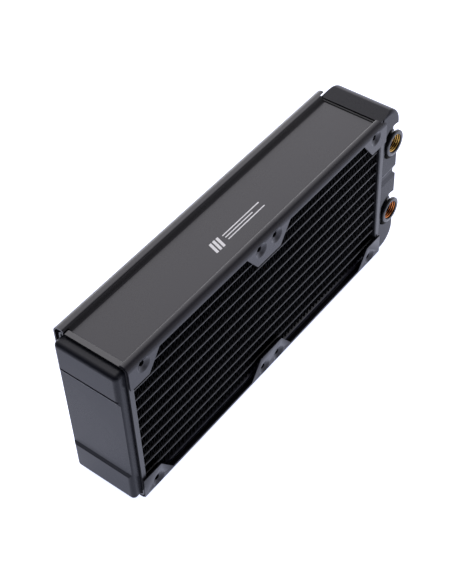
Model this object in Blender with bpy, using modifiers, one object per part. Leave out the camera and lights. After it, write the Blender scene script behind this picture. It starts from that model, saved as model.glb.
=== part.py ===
"""Liquid cooling radiator, thick two-fan format.

A flat-tube and corrugated-fin core is held between two header pans.  A plain
return tank closes one end and a port tank with two threaded collars closes the
other.  Two folded sheet rails run along the long sides, and their flanges and
tabs carry the fan screws on both faces.

Axes: X runs along the length (return tank at -X, port tank at +X), Y runs
through the thickness (fan face and ports at -Y), Z runs across the width, up.
"""
import math

import bpy
import bmesh
from mathutils import Matrix, Vector

OBJECT_NAME = "liquid_cooling_radiator"

# ---------------------------------------------------------------- dimensions
# Design frame, in millimetres: x from the middle of the screw pattern,
# y back from the front flange face, z from the mid plane of the width.
MM = 0.001
ORIGIN_X, ORIGIN_Y, ORIGIN_Z = -7.8, -27.0, 60.0

THICKNESS = 54.0            # front flange face to back flange face
HALF_WIDTH = 60.0           # across the two lips
HALF_LENGTH = 124.6         # rails
SHEET = 1.0                 # rail sheet
FRONT_LIP_Y = 6.5           # inner edge of the front lip
BACK_LIP_Y = 46.5           # inner edge of the back lip
LIP_RADIUS = 4.5
LIP_INNER_RADIUS = 1.2
WEB_DROP = 3.8              # lip top down to the recessed side panel
FLANGE_INNER_Z = 55.2       # inner edge of the narrow flange strip

SCREW_X = (-112.5, -7.5, 7.5, 112.5)
SCREW_Z = 52.5
TAB_INNER_Z = 41.6
TAB_NEAR, TAB_FAR = 3.5, 13.5   # slanted tab side, measured from the screw
DIMPLE_R, SCREW_R = 4.8, 1.8
DIMPLE_DEPTH = 1.2

GAP = 0.3                   # solder gap left between neighbouring pieces

HEADER_X = 120.5            # core side face of the header plates
HEADER_T = 1.2
HEADER_RIM_X = 124.6
HEADER_Y0, HEADER_Y1 = 1.4, 50.0
HEADER_CORNER_R = 3.4
RETURN_HEADER_Z = 58.4
PORT_HEADER_Z = 59.7

TUBE_COUNT, TUBE_ROWS = 11, 2
TUBE_PITCH = 8.647
TUBE_Y0, TUBE_W, TUBE_T, TUBE_WALL = 3.1, 20.6, 2.0, 0.4
TUBE_ROW_STEP = 22.2
TUBE_END_X = 122.7

FIN_Y0, FIN_Y1 = 3.6, 45.4
FIN_SHEET = 0.35
FIN_PERIODS = 24
SIDE_PLATE_Z, SIDE_PLATE_T = 50.9, 1.0

TANK_Y0, TANK_Y1 = 2.9, 48.5
TANK_OPEN_X = 123.2
RETURN_END_X = 131.7
RETURN_TANK_Z = 56.3
RETURN_END_R = 5.0
RETURN_BAND_Z = 34.5        # middle section of the end face, set back
RETURN_BAND_DROP, RETURN_BAND_RAMP = 1.1, 3.2
RETURN_WALL = 1.4

PORT_END_X = 144.7
PORT_FRONT_Y = 2.4
PORT_CORNER_R = 14.0
PORT_EDGE_R = 2.5
PORT_WALL = 1.5
GROOVE_MID = TUBE_PITCH / 2
GROOVE_Z = 3.5              # half height of the groove between the chambers
GROOVE_DEPTH_X, GROOVE_DEPTH_Y = 4.6, 0.9
GROOVE_TOP, GROOVE_BOTTOM = 4.3, -5.4       # edges of its opening
GROOVE_FLOOR = (2.5, -0.3)                  # upper and lower end of its floor
PORT_X = 138.1
PORT_UPPER_Z, PORT_LOWER_Z = 30.4, -28.7
PORT_DISH_R, PORT_DISH_Y = 12.4, 7.0
PORT_DISH_UP = 1.9          # the dishes sit this much above their ports
PORT_DISH_X = 127.5         # straight inner side of the dish
PORT_BULGE_R, PORT_BULGE_Y = 8.3, 15.0

COLLAR_R, COLLAR_FACE_Y, COLLAR_RING_T = 9.2, 0.8, 2.2
COLLAR_NECK_R, COLLAR_END_Y = 6.9, 11.2
COLLAR_BORE_R, COLLAR_MOUTH_R = 6.1, 6.9

# ---------------------------------------------------------------- scene setup
for old in list(bpy.data.objects):
    bpy.data.objects.remove(old, do_unlink=True)
for old in list(bpy.data.collections):
    bpy.data.collections.remove(old)

parts = bpy.data.collections.new(OBJECT_NAME)
cutters = bpy.data.collections.new("cutters")
bpy.context.scene.collection.children.link(parts)
bpy.context.scene.collection.children.link(cutters)
cutters.hide_render = True


def material(name, rgb, metallic, roughness):
    mat = bpy.data.materials.new(name)
    mat.use_nodes = True
    shader = mat.node_tree.nodes["Principled BSDF"]
    shader.inputs["Base Color"].default_value = (*rgb, 1.0)
    shader.inputs["Metallic"].default_value = metallic
    shader.inputs["Roughness"].default_value = roughness
    return mat


MAT_FRAME = material("frame_paint", (0.030, 0.030, 0.034), 0.0, 0.42)
MAT_TANK = material("tank_paint", (0.032, 0.033, 0.038), 0.0, 0.38)
MAT_HEADER = material("header_paint", (0.034, 0.034, 0.038), 0.0, 0.45)
MAT_TUBE = material("tube_paint", (0.050, 0.050, 0.054), 0.0, 0.45)
MAT_FIN = material("fin_paint", (0.012, 0.012, 0.014), 0.0, 0.55)
MAT_PORT = material("port_brass", (0.58, 0.38, 0.14), 1.0, 0.32)


# ---------------------------------------------------------------- shape tools
def world(x, y, z):
    return Vector(((x + ORIGIN_X) * MM, (y + ORIGIN_Y) * MM, (z + ORIGIN_Z) * MM))


def place(name, mesh, mat=None):
    obj = bpy.data.objects.new(name, mesh)
    if mat is None:
        cutters.objects.link(obj)
        obj.hide_render = True
        obj.display_type = "WIRE"
    else:
        parts.objects.link(obj)
        mesh.materials.clear()
        mesh.materials.append(mat)
    return obj


def box_mesh(name, boxes):
    """One mesh holding separate boxes, each (x0, x1, y0, y1, z0, z1)."""
    bm = bmesh.new()
    for x0, x1, y0, y1, z0, z1 in boxes:
        lo, hi = world(x0, y0, z0), world(x1, y1, z1)
        size, mid = hi - lo, (hi + lo) / 2
        bmesh.ops.create_cube(
            bm, size=1.0,
            matrix=Matrix.Translation(mid) @ Matrix.Diagonal((*size, 1.0)))
    mesh = bpy.data.meshes.new(name)
    bm.to_mesh(mesh)
    bm.free()
    return mesh


def box(name, *boxes, mat=None):
    return place(name, box_mesh(name, boxes), mat)


def turned(name, items, segments=24, mat=None):
    """Bodies turned about axes along Y.

    Each item is (x, z, stations), the stations being (y, radius) in order.
    """
    bm = bmesh.new()
    for x, z, stations in items:
        y, radius = stations[0]
        lay = Matrix.Translation(world(x, y, z)) @ Matrix.Rotation(math.radians(90.0), 4, "X")
        made = bmesh.ops.create_circle(bm, cap_ends=True, segments=segments,
                                       radius=radius * MM, matrix=lay)
        faces = list({f for v in made["verts"] for f in v.link_faces})
        for step, (y, next_radius) in enumerate(stations[1:]):
            grown = bmesh.ops.extrude_face_region(bm, geom=faces)["geom"]
            if step > 0:
                bmesh.ops.delete(bm, geom=faces, context="FACES_ONLY")
            ring = [g for g in grown if isinstance(g, bmesh.types.BMVert)]
            caps = [g for g in grown if isinstance(g, bmesh.types.BMFace)]
            centre = world(x, y, z)
            for vert in ring:
                out = vert.co - centre
                out.y = 0.0
                vert.co = centre + out * (next_radius / radius)
            faces, radius = caps, next_radius
    bmesh.ops.recalc_face_normals(bm, faces=bm.faces)
    mesh = bpy.data.meshes.new(name)
    bm.to_mesh(mesh)
    bm.free()
    return place(name, mesh, mat)


def rounded(corners, steps=4):
    """Points of a closed outline from (u, v, corner radius) corners."""
    out = []
    n = len(corners)
    for i, (u, v, r) in enumerate(corners):
        here = Vector((u, v))
        if r <= 0.0:
            out.append(here)
            continue
        before = Vector(corners[i - 1][:2]) - here
        after = Vector(corners[(i + 1) % n][:2]) - here
        before.normalize()
        after.normalize()
        half = before.angle(after) / 2
        reach = r / math.tan(half)
        centre = here + (before + after).normalized() * (r / math.sin(half))
        start, end = here + before * reach - centre, here + after * reach - centre
        sweep = start.angle_signed(end)
        count = max(1, int(round(steps * abs(sweep) / (math.pi / 2))))
        for k in range(count + 1):
            a = -sweep * k / count
            out.append(centre + Vector((
                start.x * math.cos(a) - start.y * math.sin(a),
                start.x * math.sin(a) + start.y * math.cos(a))))
    return out


def outline_mesh(name, loops, axis, lo, hi):
    """Extrude closed outlines (filled curves) between two planes.

    axis "X": outline in (y, z); axis "Y": outline in (x, z).
    """
    curve = bpy.data.curves.new(name + "_outline", "CURVE")
    curve.dimensions = "2D"
    curve.fill_mode = "BOTH"
    curve.extrude = abs(hi - lo) / 2 * MM
    for loop in loops:
        spline = curve.splines.new("POLY")
        spline.points.add(len(loop) - 1)
        for point, (u, v) in zip(spline.points, loop):
            point.co = (u * MM, v * MM, 0.0, 1.0)
        spline.use_cyclic_u = True
    holder = bpy.data.objects.new(name + "_outline", curve)
    bpy.context.scene.collection.objects.link(holder)
    mesh = bpy.data.meshes.new_from_object(
        holder.evaluated_get(bpy.context.evaluated_depsgraph_get()))
    bpy.data.objects.remove(holder, do_unlink=True)
    bpy.data.curves.remove(curve)
    mesh.name = name
    mid = (lo + hi) / 2
    if axis == "X":      # local (u, v, w) -> (w, u, v)
        turn = Matrix(((0, 0, 1, 0), (1, 0, 0, 0), (0, 1, 0, 0), (0, 0, 0, 1)))
        shift = world(mid, 0, 0)
    else:                # local (u, v, w) -> (u, -w, v)
        turn = Matrix(((1, 0, 0, 0), (0, 0, -1, 0), (0, 1, 0, 0), (0, 0, 0, 1)))
        shift = world(0, mid, 0)
    mesh.transform(Matrix.Translation(shift) @ turn)
    bm = bmesh.new()
    bm.from_mesh(mesh)
    bmesh.ops.remove_doubles(bm, verts=bm.verts, dist=1e-7)
    bmesh.ops.recalc_face_normals(bm, faces=bm.faces)
    bm.to_mesh(mesh)
    bm.free()
    return mesh


def outline(name, loops, axis, lo, hi, mat=None):
    return place(name, outline_mesh(name, loops, axis, lo, hi), mat)


def boolean(obj, tool, operation="DIFFERENCE"):
    mod = obj.modifiers.new(operation.lower() + "_" + tool.name, "BOOLEAN")
    mod.operation = operation
    mod.solver = "EXACT"
    mod.object = tool
    return mod


def bevel(obj, width, segments=3, angle=50.0):
    mod = obj.modifiers.new("edge_radius", "BEVEL")
    mod.width = width * MM
    mod.segments = segments
    mod.limit_method = "ANGLE"
    mod.angle_limit = math.radians(angle)
    mod.use_clamp_overlap = True
    return mod


def bevel_edges(mesh, width, segments, keep):
    """Round the mesh edges whose two ends both satisfy keep(x, y, z) in mm."""
    bm = bmesh.new()
    bm.from_mesh(mesh)
    chosen = []
    for edge in bm.edges:
        ends = []
        for vert in edge.verts:
            p = vert.co / MM
            ends.append((p.x - ORIGIN_X, p.y - ORIGIN_Y, p.z - ORIGIN_Z))
        if keep(ends[0], ends[1]):
            chosen.append(edge)
    bmesh.ops.bevel(bm, geom=chosen, offset=width * MM, segments=segments,
                    profile=0.5, affect="EDGES", clamp_overlap=True)
    bm.to_mesh(mesh)
    bm.free()


# ---------------------------------------------------------------- side rails
def rail(name, side):
    """Folded channel: front flange, lip, recessed web, lip, back flange."""
    top, web = HALF_WIDTH, HALF_WIDTH - WEB_DROP
    back = THICKNESS
    section = rounded([
        (0.0, FLANGE_INNER_Z, 0), (0.0, top, LIP_RADIUS),
        (FRONT_LIP_Y, top, LIP_INNER_RADIUS), (FRONT_LIP_Y, web, 0.6),
        (BACK_LIP_Y, web, 0.6), (BACK_LIP_Y, top, LIP_INNER_RADIUS),
        (back, top, LIP_RADIUS), (back, FLANGE_INNER_Z, 0),
        (back - SHEET, FLANGE_INNER_Z, 0),
        (back - SHEET, top - SHEET, LIP_RADIUS - SHEET),
        (BACK_LIP_Y + SHEET, top - SHEET, 0.5),
        (BACK_LIP_Y + SHEET, web - SHEET, 0.5),
        (FRONT_LIP_Y - SHEET, web - SHEET, 0.5),
        (FRONT_LIP_Y - SHEET, top - SHEET, 0.5),
        (SHEET, top - SHEET, LIP_RADIUS - SHEET), (SHEET, FLANGE_INNER_Z, 0),
    ])
    section = [(p.x, p.y * side) for p in section]
    body = outline(name, [section], "X", -HALF_LENGTH, HALF_LENGTH, MAT_FRAME)

    # tabs around the fan screws, on the front and the back flange
    root = FLANGE_INNER_Z + 0.25
    shapes = []
    for x in SCREW_X:
        if abs(x) > 50.0:
            s = math.copysign(1.0, x)
            shapes.append([
                (s * HALF_LENGTH, root), (s * HALF_LENGTH, TAB_INNER_Z),
                (x - s * TAB_NEAR, TAB_INNER_Z), (x - s * TAB_FAR, FLANGE_INNER_Z),
                (x - s * TAB_FAR, root)])
    mid = SCREW_X[2]
    shapes.append([
        (-mid - TAB_FAR, root), (-mid - TAB_FAR, FLANGE_INNER_Z),
        (-mid - TAB_NEAR, TAB_INNER_Z), (mid + TAB_NEAR, TAB_INNER_Z),
        (mid + TAB_FAR, FLANGE_INNER_Z), (mid + TAB_FAR, root)])
    loops = [[(u, v * side) for u, v in shape] for shape in shapes]
    front = outline(name + "_front_tabs", loops, "Y", 0.0, SHEET)
    behind = outline(name + "_back_tabs", loops, "Y", back - SHEET, back)
    boolean(body, front, "UNION")
    boolean(body, behind, "UNION")

    # ends of the web and lips cut away where the header rims pass
    lo, hi = sorted((side * 54.0, side * (RETURN_HEADER_Z + GAP)))
    lo2, hi2 = sorted((side * 54.0, side * (HALF_WIDTH + 2.0)))
    reliefs = box(name + "_header_reliefs",
                  (-HALF_LENGTH - 5, -HEADER_X + GAP, 2.0, HEADER_Y1 + 0.4, lo, hi),
                  (HEADER_X - GAP, HALF_LENGTH + 5, 1.1, HEADER_Y1 + 0.4, lo2, hi2))
    boolean(body, reliefs)

    # pressed screw dimples: a boss behind the sheet, then the cone and hole
    z, lift, tip = SCREW_Z * side, SHEET - 0.2, DIMPLE_DEPTH + 0.9
    slope = (DIMPLE_R - SCREW_R) / DIMPLE_DEPTH
    bosses = [(lift, DIMPLE_R + 0.5), (tip, SCREW_R + 0.8)]
    cuts = [(-0.5, DIMPLE_R + 0.5 * slope), (DIMPLE_DEPTH, SCREW_R), (tip + 0.6, SCREW_R)]
    both = lambda stations: [
        (x, z, [(y if face == 0 else back - y, r) for y, r in stations])
        for x in SCREW_X for face in (0, 1)]
    boolean(body, turned(name + "_dimple_bosses", both(bosses), 16), "UNION")
    boolean(body, turned(name + "_dimples", both(cuts), 16))
    return body


def mirrored(name, source, mat):
    """The finished shape of one piece, reflected across the mid plane."""
    mesh = bpy.data.meshes.new_from_object(
        source.evaluated_get(bpy.context.evaluated_depsgraph_get()))
    mesh.name = name
    flip = Matrix.Scale(-1.0, 4, (0.0, 0.0, 1.0))
    middle = Matrix.Translation((0.0, 0.0, ORIGIN_Z * MM))
    mesh.transform(middle @ flip @ middle.inverted())
    mesh.flip_normals()
    return place(name, mesh, mat)


top_rail = rail("rail_top", 1.0)
mirrored("rail_bottom", top_rail, MAT_FRAME)


# ---------------------------------------------------------------- core
def flat(width, height, y_mid, z_mid, steps=3):
    """Outline of a flat tube with round narrow sides, in (y, z)."""
    r = height / 2
    pts = []
    for centre, start in ((width / 2 - r, -90.0), (-(width / 2 - r), 90.0)):
        for k in range(steps + 1):
            a = math.radians(start + 180.0 * k / steps)
            pts.append((y_mid + centre + r * math.cos(a), z_mid + r * math.sin(a)))
    return pts


def tube_centres():
    for row in range(TUBE_ROWS):
        y_mid = TUBE_Y0 + TUBE_W / 2 + row * TUBE_ROW_STEP
        for i in range(TUBE_COUNT):
            yield row, i, y_mid, (i - (TUBE_COUNT - 1) / 2) * TUBE_PITCH


for row, i, y_mid, z_mid in tube_centres():
    loops = [flat(TUBE_W, TUBE_T, y_mid, z_mid),
             flat(TUBE_W - 2 * TUBE_WALL, TUBE_T - 2 * TUBE_WALL, y_mid, z_mid)]
    outline("tube_%s_%02d" % (("front", "back")[row], i + 1), loops, "X",
            -TUBE_END_X, TUBE_END_X, MAT_TUBE)

FIN_SPAN = HEADER_X - GAP
for i in range(TUBE_COUNT + 1):
    base = (i - TUBE_COUNT / 2) * TUBE_PITCH
    z0 = base - TUBE_PITCH / 2 + TUBE_T / 2 + GAP
    z1 = base + TUBE_PITCH / 2 - TUBE_T / 2 - GAP
    step = 2 * FIN_SPAN / (2 * FIN_PERIODS)
    lean = math.atan2(z1 - z0 - FIN_SHEET, step)
    rise = FIN_SHEET / math.cos(lean)
    lower, upper = [], []
    for k in range(2 * FIN_PERIODS + 1):
        x = -FIN_SPAN + k * step
        z = z0 if k % 2 == 0 else z1 - rise
        lower.append((x, z))
        upper.append((x, z + rise))
    outline("fin_%02d" % (i + 1), [lower + upper[::-1]], "Y", FIN_Y0, FIN_Y1, MAT_FIN)

for name, s in (("core_side_top", 1.0), ("core_side_bottom", -1.0)):
    lo, hi = sorted((s * SIDE_PLATE_Z, s * (SIDE_PLATE_Z + SIDE_PLATE_T)))
    box(name, (-FIN_SPAN, FIN_SPAN, FIN_Y0 - 0.2, FIN_Y1 + 0.2, lo, hi), mat=MAT_FRAME)


# ---------------------------------------------------------------- header pans
def header(name, s, half_z):
    """Pan with its rim turned outward over the tank, slotted for the tubes."""
    a, b = sorted((s * HEADER_X, s * HEADER_RIM_X))
    mesh = box_mesh(name, [(a, b, HEADER_Y0, HEADER_Y1, -half_z, half_z)])
    corner = lambda p, q: abs(p[1] - q[1]) < 0.01 and abs(p[2] - q[2]) < 0.01
    bevel_edges(mesh, HEADER_CORNER_R, 3, corner)
    face = lambda p, q: abs(p[0] - s * HEADER_X) < 0.01 and abs(q[0] - s * HEADER_X) < 0.01
    bevel_edges(mesh, 0.8, 2, face)
    body = place(name, mesh, MAT_HEADER)
    a, b = sorted((s * (HEADER_X + HEADER_T), s * (HEADER_RIM_X + 2.0)))
    inner = box_mesh(name + "_pan", [
        (a, b, HEADER_Y0 + HEADER_T, HEADER_Y1 - HEADER_T,
         -half_z + HEADER_T, half_z - HEADER_T)])
    bevel_edges(inner, HEADER_CORNER_R - HEADER_T, 3, corner)
    boolean(body, place(name + "_pan", inner))
    a, b = sorted((s * (HEADER_X - 1.0), s * (HEADER_X + HEADER_T + 1.0)))
    slot = outline(name + "_slots", [
        flat(TUBE_W + 2 * GAP, TUBE_T + 2 * GAP, TUBE_Y0 + TUBE_W / 2,
             -(TUBE_COUNT - 1) / 2 * TUBE_PITCH)], "X", a, b)
    for count, shift in ((TUBE_ROWS, (0.0, TUBE_ROW_STEP, 0.0)),
                         (TUBE_COUNT, (0.0, 0.0, TUBE_PITCH))):
        arr = slot.modifiers.new("repeat", "ARRAY")
        arr.count = count
        arr.use_relative_offset = False
        arr.use_constant_offset = True
        arr.constant_offset_displace = Vector(shift) * MM
    boolean(body, slot)
    return body


header("return_header", -1.0, RETURN_HEADER_Z)
header("port_header", 1.0, PORT_HEADER_Z)


# ---------------------------------------------------------------- return tank
def return_tank():
    half_z = RETURN_TANK_Z
    end, open_x = -RETURN_END_X, -TANK_OPEN_X
    mesh = box_mesh("return_tank", [(end, open_x, TANK_Y0, TANK_Y1, -half_z, half_z)])
    along_x = lambda p, q: abs(p[1] - q[1]) < 0.01 and abs(p[2] - q[2]) < 0.01
    bevel_edges(mesh, 3.0, 4, along_x)
    at_end = lambda p, q: abs(p[0] - end) < 0.01 and abs(q[0] - end) < 0.01
    bevel_edges(mesh, RETURN_END_R, 5, at_end)
    body = place("return_tank", mesh, MAT_TANK)

    # the middle of the end face is set back, with a short ramp to each side
    drop, w = RETURN_BAND_DROP, RETURN_WALL
    inner_z = RETURN_BAND_Z - RETURN_BAND_RAMP
    band = [(end - 4.0, -RETURN_BAND_Z), (end, -RETURN_BAND_Z), (end + drop, -inner_z),
            (end + drop, inner_z), (end, RETURN_BAND_Z), (end - 4.0, RETURN_BAND_Z)]
    boolean(body, outline("return_band", [band], "Y", TANK_Y0 - 5, TANK_Y1 + 5))

    hollow = box_mesh("return_hollow", [
        (end + drop + w, open_x + 3, TANK_Y0 + w, TANK_Y1 - w, -half_z + w, half_z - w)])
    bevel_edges(hollow, RETURN_END_R - w, 3, lambda p, q: abs(p[0] - q[0]) < 0.01
                and abs(p[0] - end - drop - w) < 0.01)
    bevel_edges(hollow, 1.6, 2, along_x)
    boolean(body, place("return_hollow", hollow))
    return body


return_tank()


# ---------------------------------------------------------------- port tank
def port_tank():
    half_z = PORT_HEADER_Z - 0.1
    end, w = PORT_END_X, PORT_WALL
    shape = rounded([(119.0, -half_z, 0), (end, -half_z, PORT_CORNER_R),
                     (end, half_z, PORT_CORNER_R), (119.0, half_z, 0)], 5)
    mesh = outline_mesh("port_tank", [[(p.x, p.y) for p in shape]], "Y",
                        PORT_FRONT_Y, TANK_Y1)
    bm = bmesh.new()
    bm.from_mesh(mesh)
    bmesh.ops.dissolve_limit(bm, angle_limit=math.radians(1.0),
                             verts=bm.verts, edges=bm.edges)
    bm.to_mesh(mesh)
    bm.free()
    at_cap = lambda p, q: (abs(p[1] - q[1]) < 0.01
                           and min(abs(p[1] - PORT_FRONT_Y), abs(p[1] - TANK_Y1)) < 0.01
                           and max(p[0], q[0]) > 120.0)
    bevel_edges(mesh, PORT_EDGE_R, 3, at_cap)
    body = place("port_tank", mesh, MAT_TANK)
    boolean(body, box("port_trim", (110.0, HEADER_RIM_X + GAP, -5, 60, -70, 70)))
    inset = PORT_HEADER_Z - HEADER_T - GAP
    mouth = box_mesh("port_mouth", [
        (TANK_OPEN_X, HEADER_RIM_X + 2.0, TANK_Y0 + 0.3, TANK_Y1, -inset, inset)])
    bevel_edges(mouth, HEADER_CORNER_R - HEADER_T, 3,
                lambda p, q: abs(p[1] - q[1]) < 0.01 and abs(p[2] - q[2]) < 0.01)
    boolean(body, place("port_mouth", mouth), "UNION")

    # groove pressed between the two chambers
    top, floor_z, bottom = GROOVE_TOP, GROOVE_FLOOR, GROOVE_BOTTOM
    for axis, face, out, depth, lo, hi in (
            ("Y", end, 3.0, GROOVE_DEPTH_X, -5.0, 60.0),
            ("X", PORT_FRONT_Y, -2.0, GROOVE_DEPTH_Y, HEADER_RIM_X + 2.0, end + 5.0),
            ("X", TANK_Y1, 2.0, GROOVE_DEPTH_Y, HEADER_RIM_X + 2.0, end + 5.0)):
        inner = face - math.copysign(depth, out)
        profile = [(face + out, top + 1.3), (face, top), (inner, floor_z[0]),
                   (inner, floor_z[1]), (face, bottom), (face + out, bottom - 3.2)]
        boolean(body, outline("port_groove", [[(u, v + GROOVE_MID) for u, v in profile]],
                              axis, lo, hi))

    # round bulge that takes the collar neck, and the dish around each collar
    ports = (PORT_UPPER_Z, PORT_LOWER_Z)
    bulge = turned("port_bulges", [
        (PORT_X, z, [(6.5, PORT_BULGE_R), (PORT_BULGE_Y - 2.0, PORT_BULGE_R),
                     (PORT_BULGE_Y, PORT_BULGE_R - 2.0)]) for z in ports])
    boolean(body, bulge, "UNION")
    dish = turned("port_dishes", [
        (PORT_X, z + PORT_DISH_UP, [(-1.0, PORT_DISH_R + 1.0), (PORT_DISH_Y, PORT_DISH_R)])
        for z in ports])
    side = box("port_dish_side", (100.0, PORT_DISH_X, -10, 30, -70, 70))
    boolean(dish, side)
    boolean(body, dish)

    # chambers
    deep = end - w
    wall = box("port_floor_side", (100.0, PORT_DISH_X - w, -10, 30, -70, 70))
    for tag, s, port_z in (("upper", 1.0, PORT_UPPER_Z), ("lower", -1.0, PORT_LOWER_Z)):
        z0, z1 = s * GROOVE_MID + GROOVE_Z + w, half_z - w - 1.3
        shape = rounded([(TANK_OPEN_X - 3, s * z0, 0), (deep, s * z0, 1.5),
                         (deep, s * z1, PORT_CORNER_R - w), (TANK_OPEN_X - 3, s * z1, 0)], 4)
        room = outline("port_chamber_" + tag, [[(p.x, p.y) for p in shape]], "Y",
                       PORT_FRONT_Y + w, TANK_Y1 - w)
        keep = turned("port_floor_" + tag, [
            (PORT_X, port_z + PORT_DISH_UP,
             [(0.0, PORT_DISH_R + w), (PORT_DISH_Y + w, PORT_DISH_R + w)])])
        boolean(keep, wall)
        boolean(room, keep)
        boolean(body, room)
    channel = box("port_channel", (TANK_OPEN_X - 3, end - GROOVE_DEPTH_X - w,
                                   PORT_FRONT_Y + GROOVE_DEPTH_Y + w,
                                   TANK_Y1 - GROOVE_DEPTH_Y - w,
                                   GROOVE_MID - GROOVE_Z - w - 0.5,
                                   GROOVE_MID + GROOVE_Z + w + 0.5))
    boolean(body, channel)
    boolean(body, box("port_mouth_hollow", (TANK_OPEN_X - 3, HEADER_RIM_X + 0.4, TANK_Y0 + w,
                                            TANK_Y1 - w, -inset + w, inset - w)))
    bores = turned("port_neck_holes", [
        (PORT_X, z, [(6.0, COLLAR_NECK_R + GAP), (COLLAR_END_Y + 1.2, COLLAR_NECK_R + GAP)])
        for z in ports])
    boolean(body, bores)
    return body


port_tank()

# partition between the inlet and outlet chambers
box("tank_baffle", (HEADER_X + HEADER_T + 1.6, PORT_END_X - GROOVE_DEPTH_X - PORT_WALL - GAP,
                    PORT_FRONT_Y + GROOVE_DEPTH_Y + PORT_WALL + GAP,
                    TANK_Y1 - GROOVE_DEPTH_Y - PORT_WALL - GAP,
                    TUBE_PITCH / 2 - 0.6, TUBE_PITCH / 2 + 0.6), mat=MAT_TANK)


# ---------------------------------------------------------------- collars
def collar(name, z):
    """Threaded collar: a ring face on a neck that enters the tank."""
    ring_back = COLLAR_FACE_Y + COLLAR_RING_T
    body = turned(name, [(PORT_X, z, [
        (COLLAR_FACE_Y, COLLAR_R - 0.4), (COLLAR_FACE_Y + 0.4, COLLAR_R),
        (ring_back, COLLAR_R), (ring_back + 0.01, COLLAR_NECK_R),
        (COLLAR_END_Y, COLLAR_NECK_R)])], 32, MAT_PORT)
    flare = COLLAR_MOUTH_R - COLLAR_BORE_R
    bore = turned(name + "_bore", [(PORT_X, z, [
        (COLLAR_FACE_Y - flare, COLLAR_MOUTH_R + flare),
        (COLLAR_FACE_Y + flare, COLLAR_BORE_R),
        (COLLAR_END_Y + 1.0, COLLAR_BORE_R)])], 32)
    boolean(body, bore)
    return body


collar("port_collar_upper", PORT_UPPER_Z)
collar("port_collar_lower", PORT_LOWER_Z)
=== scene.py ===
"""The looks of the liquid cooling radiator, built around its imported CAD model."""
import math

import bmesh
import bpy
import numpy as np
from mathutils import Matrix, Vector


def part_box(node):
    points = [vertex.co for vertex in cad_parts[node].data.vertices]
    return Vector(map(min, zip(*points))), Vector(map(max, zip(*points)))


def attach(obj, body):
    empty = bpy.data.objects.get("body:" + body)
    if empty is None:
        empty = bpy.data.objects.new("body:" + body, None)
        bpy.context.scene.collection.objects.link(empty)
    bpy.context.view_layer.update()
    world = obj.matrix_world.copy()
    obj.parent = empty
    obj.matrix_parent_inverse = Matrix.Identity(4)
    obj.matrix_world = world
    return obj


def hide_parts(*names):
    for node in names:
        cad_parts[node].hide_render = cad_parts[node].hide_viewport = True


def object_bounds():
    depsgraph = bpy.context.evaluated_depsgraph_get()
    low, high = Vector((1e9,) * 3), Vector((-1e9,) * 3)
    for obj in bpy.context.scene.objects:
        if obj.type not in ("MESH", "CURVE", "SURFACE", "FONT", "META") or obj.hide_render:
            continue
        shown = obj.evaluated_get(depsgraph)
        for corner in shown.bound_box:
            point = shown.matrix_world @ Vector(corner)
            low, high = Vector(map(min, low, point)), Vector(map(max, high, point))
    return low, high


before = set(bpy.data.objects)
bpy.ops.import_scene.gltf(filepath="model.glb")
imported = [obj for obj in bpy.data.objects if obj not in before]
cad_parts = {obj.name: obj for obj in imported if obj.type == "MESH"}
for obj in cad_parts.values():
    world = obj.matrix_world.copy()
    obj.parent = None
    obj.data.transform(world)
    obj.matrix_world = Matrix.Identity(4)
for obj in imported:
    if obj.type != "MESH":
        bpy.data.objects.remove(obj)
cad_lo, cad_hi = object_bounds()
scene = bpy.context.scene

# ------------------------------------------------------------ places from CAD
MM = 0.001
rail_lo, rail_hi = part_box("rail_top")
base_lo, base_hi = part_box("rail_bottom")
OX = (rail_lo.x + rail_hi.x) / 2            # middle of the screw pattern
OY = rail_lo.y                              # front flange face
OZ = (base_lo.z + rail_hi.z) / 2            # middle of the width


def mm_box(node):
    """Lowest and highest corner of a node in the design frame, in mm."""
    lo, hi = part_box(node)
    return (((lo.x - OX) / MM, (lo.y - OY) / MM, (lo.z - OZ) / MM),
            ((hi.x - OX) / MM, (hi.y - OY) / MM, (hi.z - OZ) / MM))


def W(x, y, z):
    return Vector((OX + x * MM, OY + y * MM, OZ + z * MM))


THICKNESS = mm_box("rail_top")[1][1]
HALF_WIDTH = mm_box("rail_top")[1][2]
HALF_LENGTH = mm_box("rail_top")[1][0]
RETURN_PAN = mm_box("return_header")
PORT_PAN = mm_box("port_header")
RETURN_TANK = mm_box("return_tank")
PORT_TANK = mm_box("port_tank")
RING = mm_box("port_collar_upper")
SIDE_PLATE = mm_box("core_side_top")
TUBE_FIRST = mm_box("tube_front_01")
TUBE_SECOND = mm_box("tube_front_02")
TUBE_BACK = mm_box("tube_back_01")
FIN = mm_box("fin_06")

SHEET = 1.0
FRONT_LIP_Y, BACK_LIP_Y = 6.5, 46.5
LIP_RADIUS, LIP_INNER_RADIUS = 4.5, 1.2
WEB_DROP = 3.8
FLANGE_INNER_Z = 55.2
SCREW_X, SCREW_Z = (-112.5, -7.5, 7.5, 112.5), 52.5
TAB_INNER_Z, TAB_NEAR, TAB_FAR = 41.6, 3.5, 13.5
SCREW_R = 1.8
GAP = 0.3
HEADER_T, HEADER_CORNER_R = 1.2, 3.4
TUBE_PITCH = TUBE_SECOND[0][2] - TUBE_FIRST[0][2]
TUBE_T = TUBE_FIRST[1][2] - TUBE_FIRST[0][2]
TUBE_W = 20.6
TUBE_Y = (TUBE_FIRST[0][1] + TUBE_FIRST[1][1]) / 2, (TUBE_BACK[0][1] + TUBE_BACK[1][1]) / 2
TUBE_END = TUBE_FIRST[1][0]
RING_LOW = mm_box("port_collar_lower")
PORT_X = (RING[0][0] + RING[1][0]) / 2
PORTS = ((RING[0][2] + RING[1][2]) / 2, (RING_LOW[0][2] + RING_LOW[1][2]) / 2)
GROOVE_MID, GROOVE_Z = TUBE_PITCH / 2, 3.5

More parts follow.
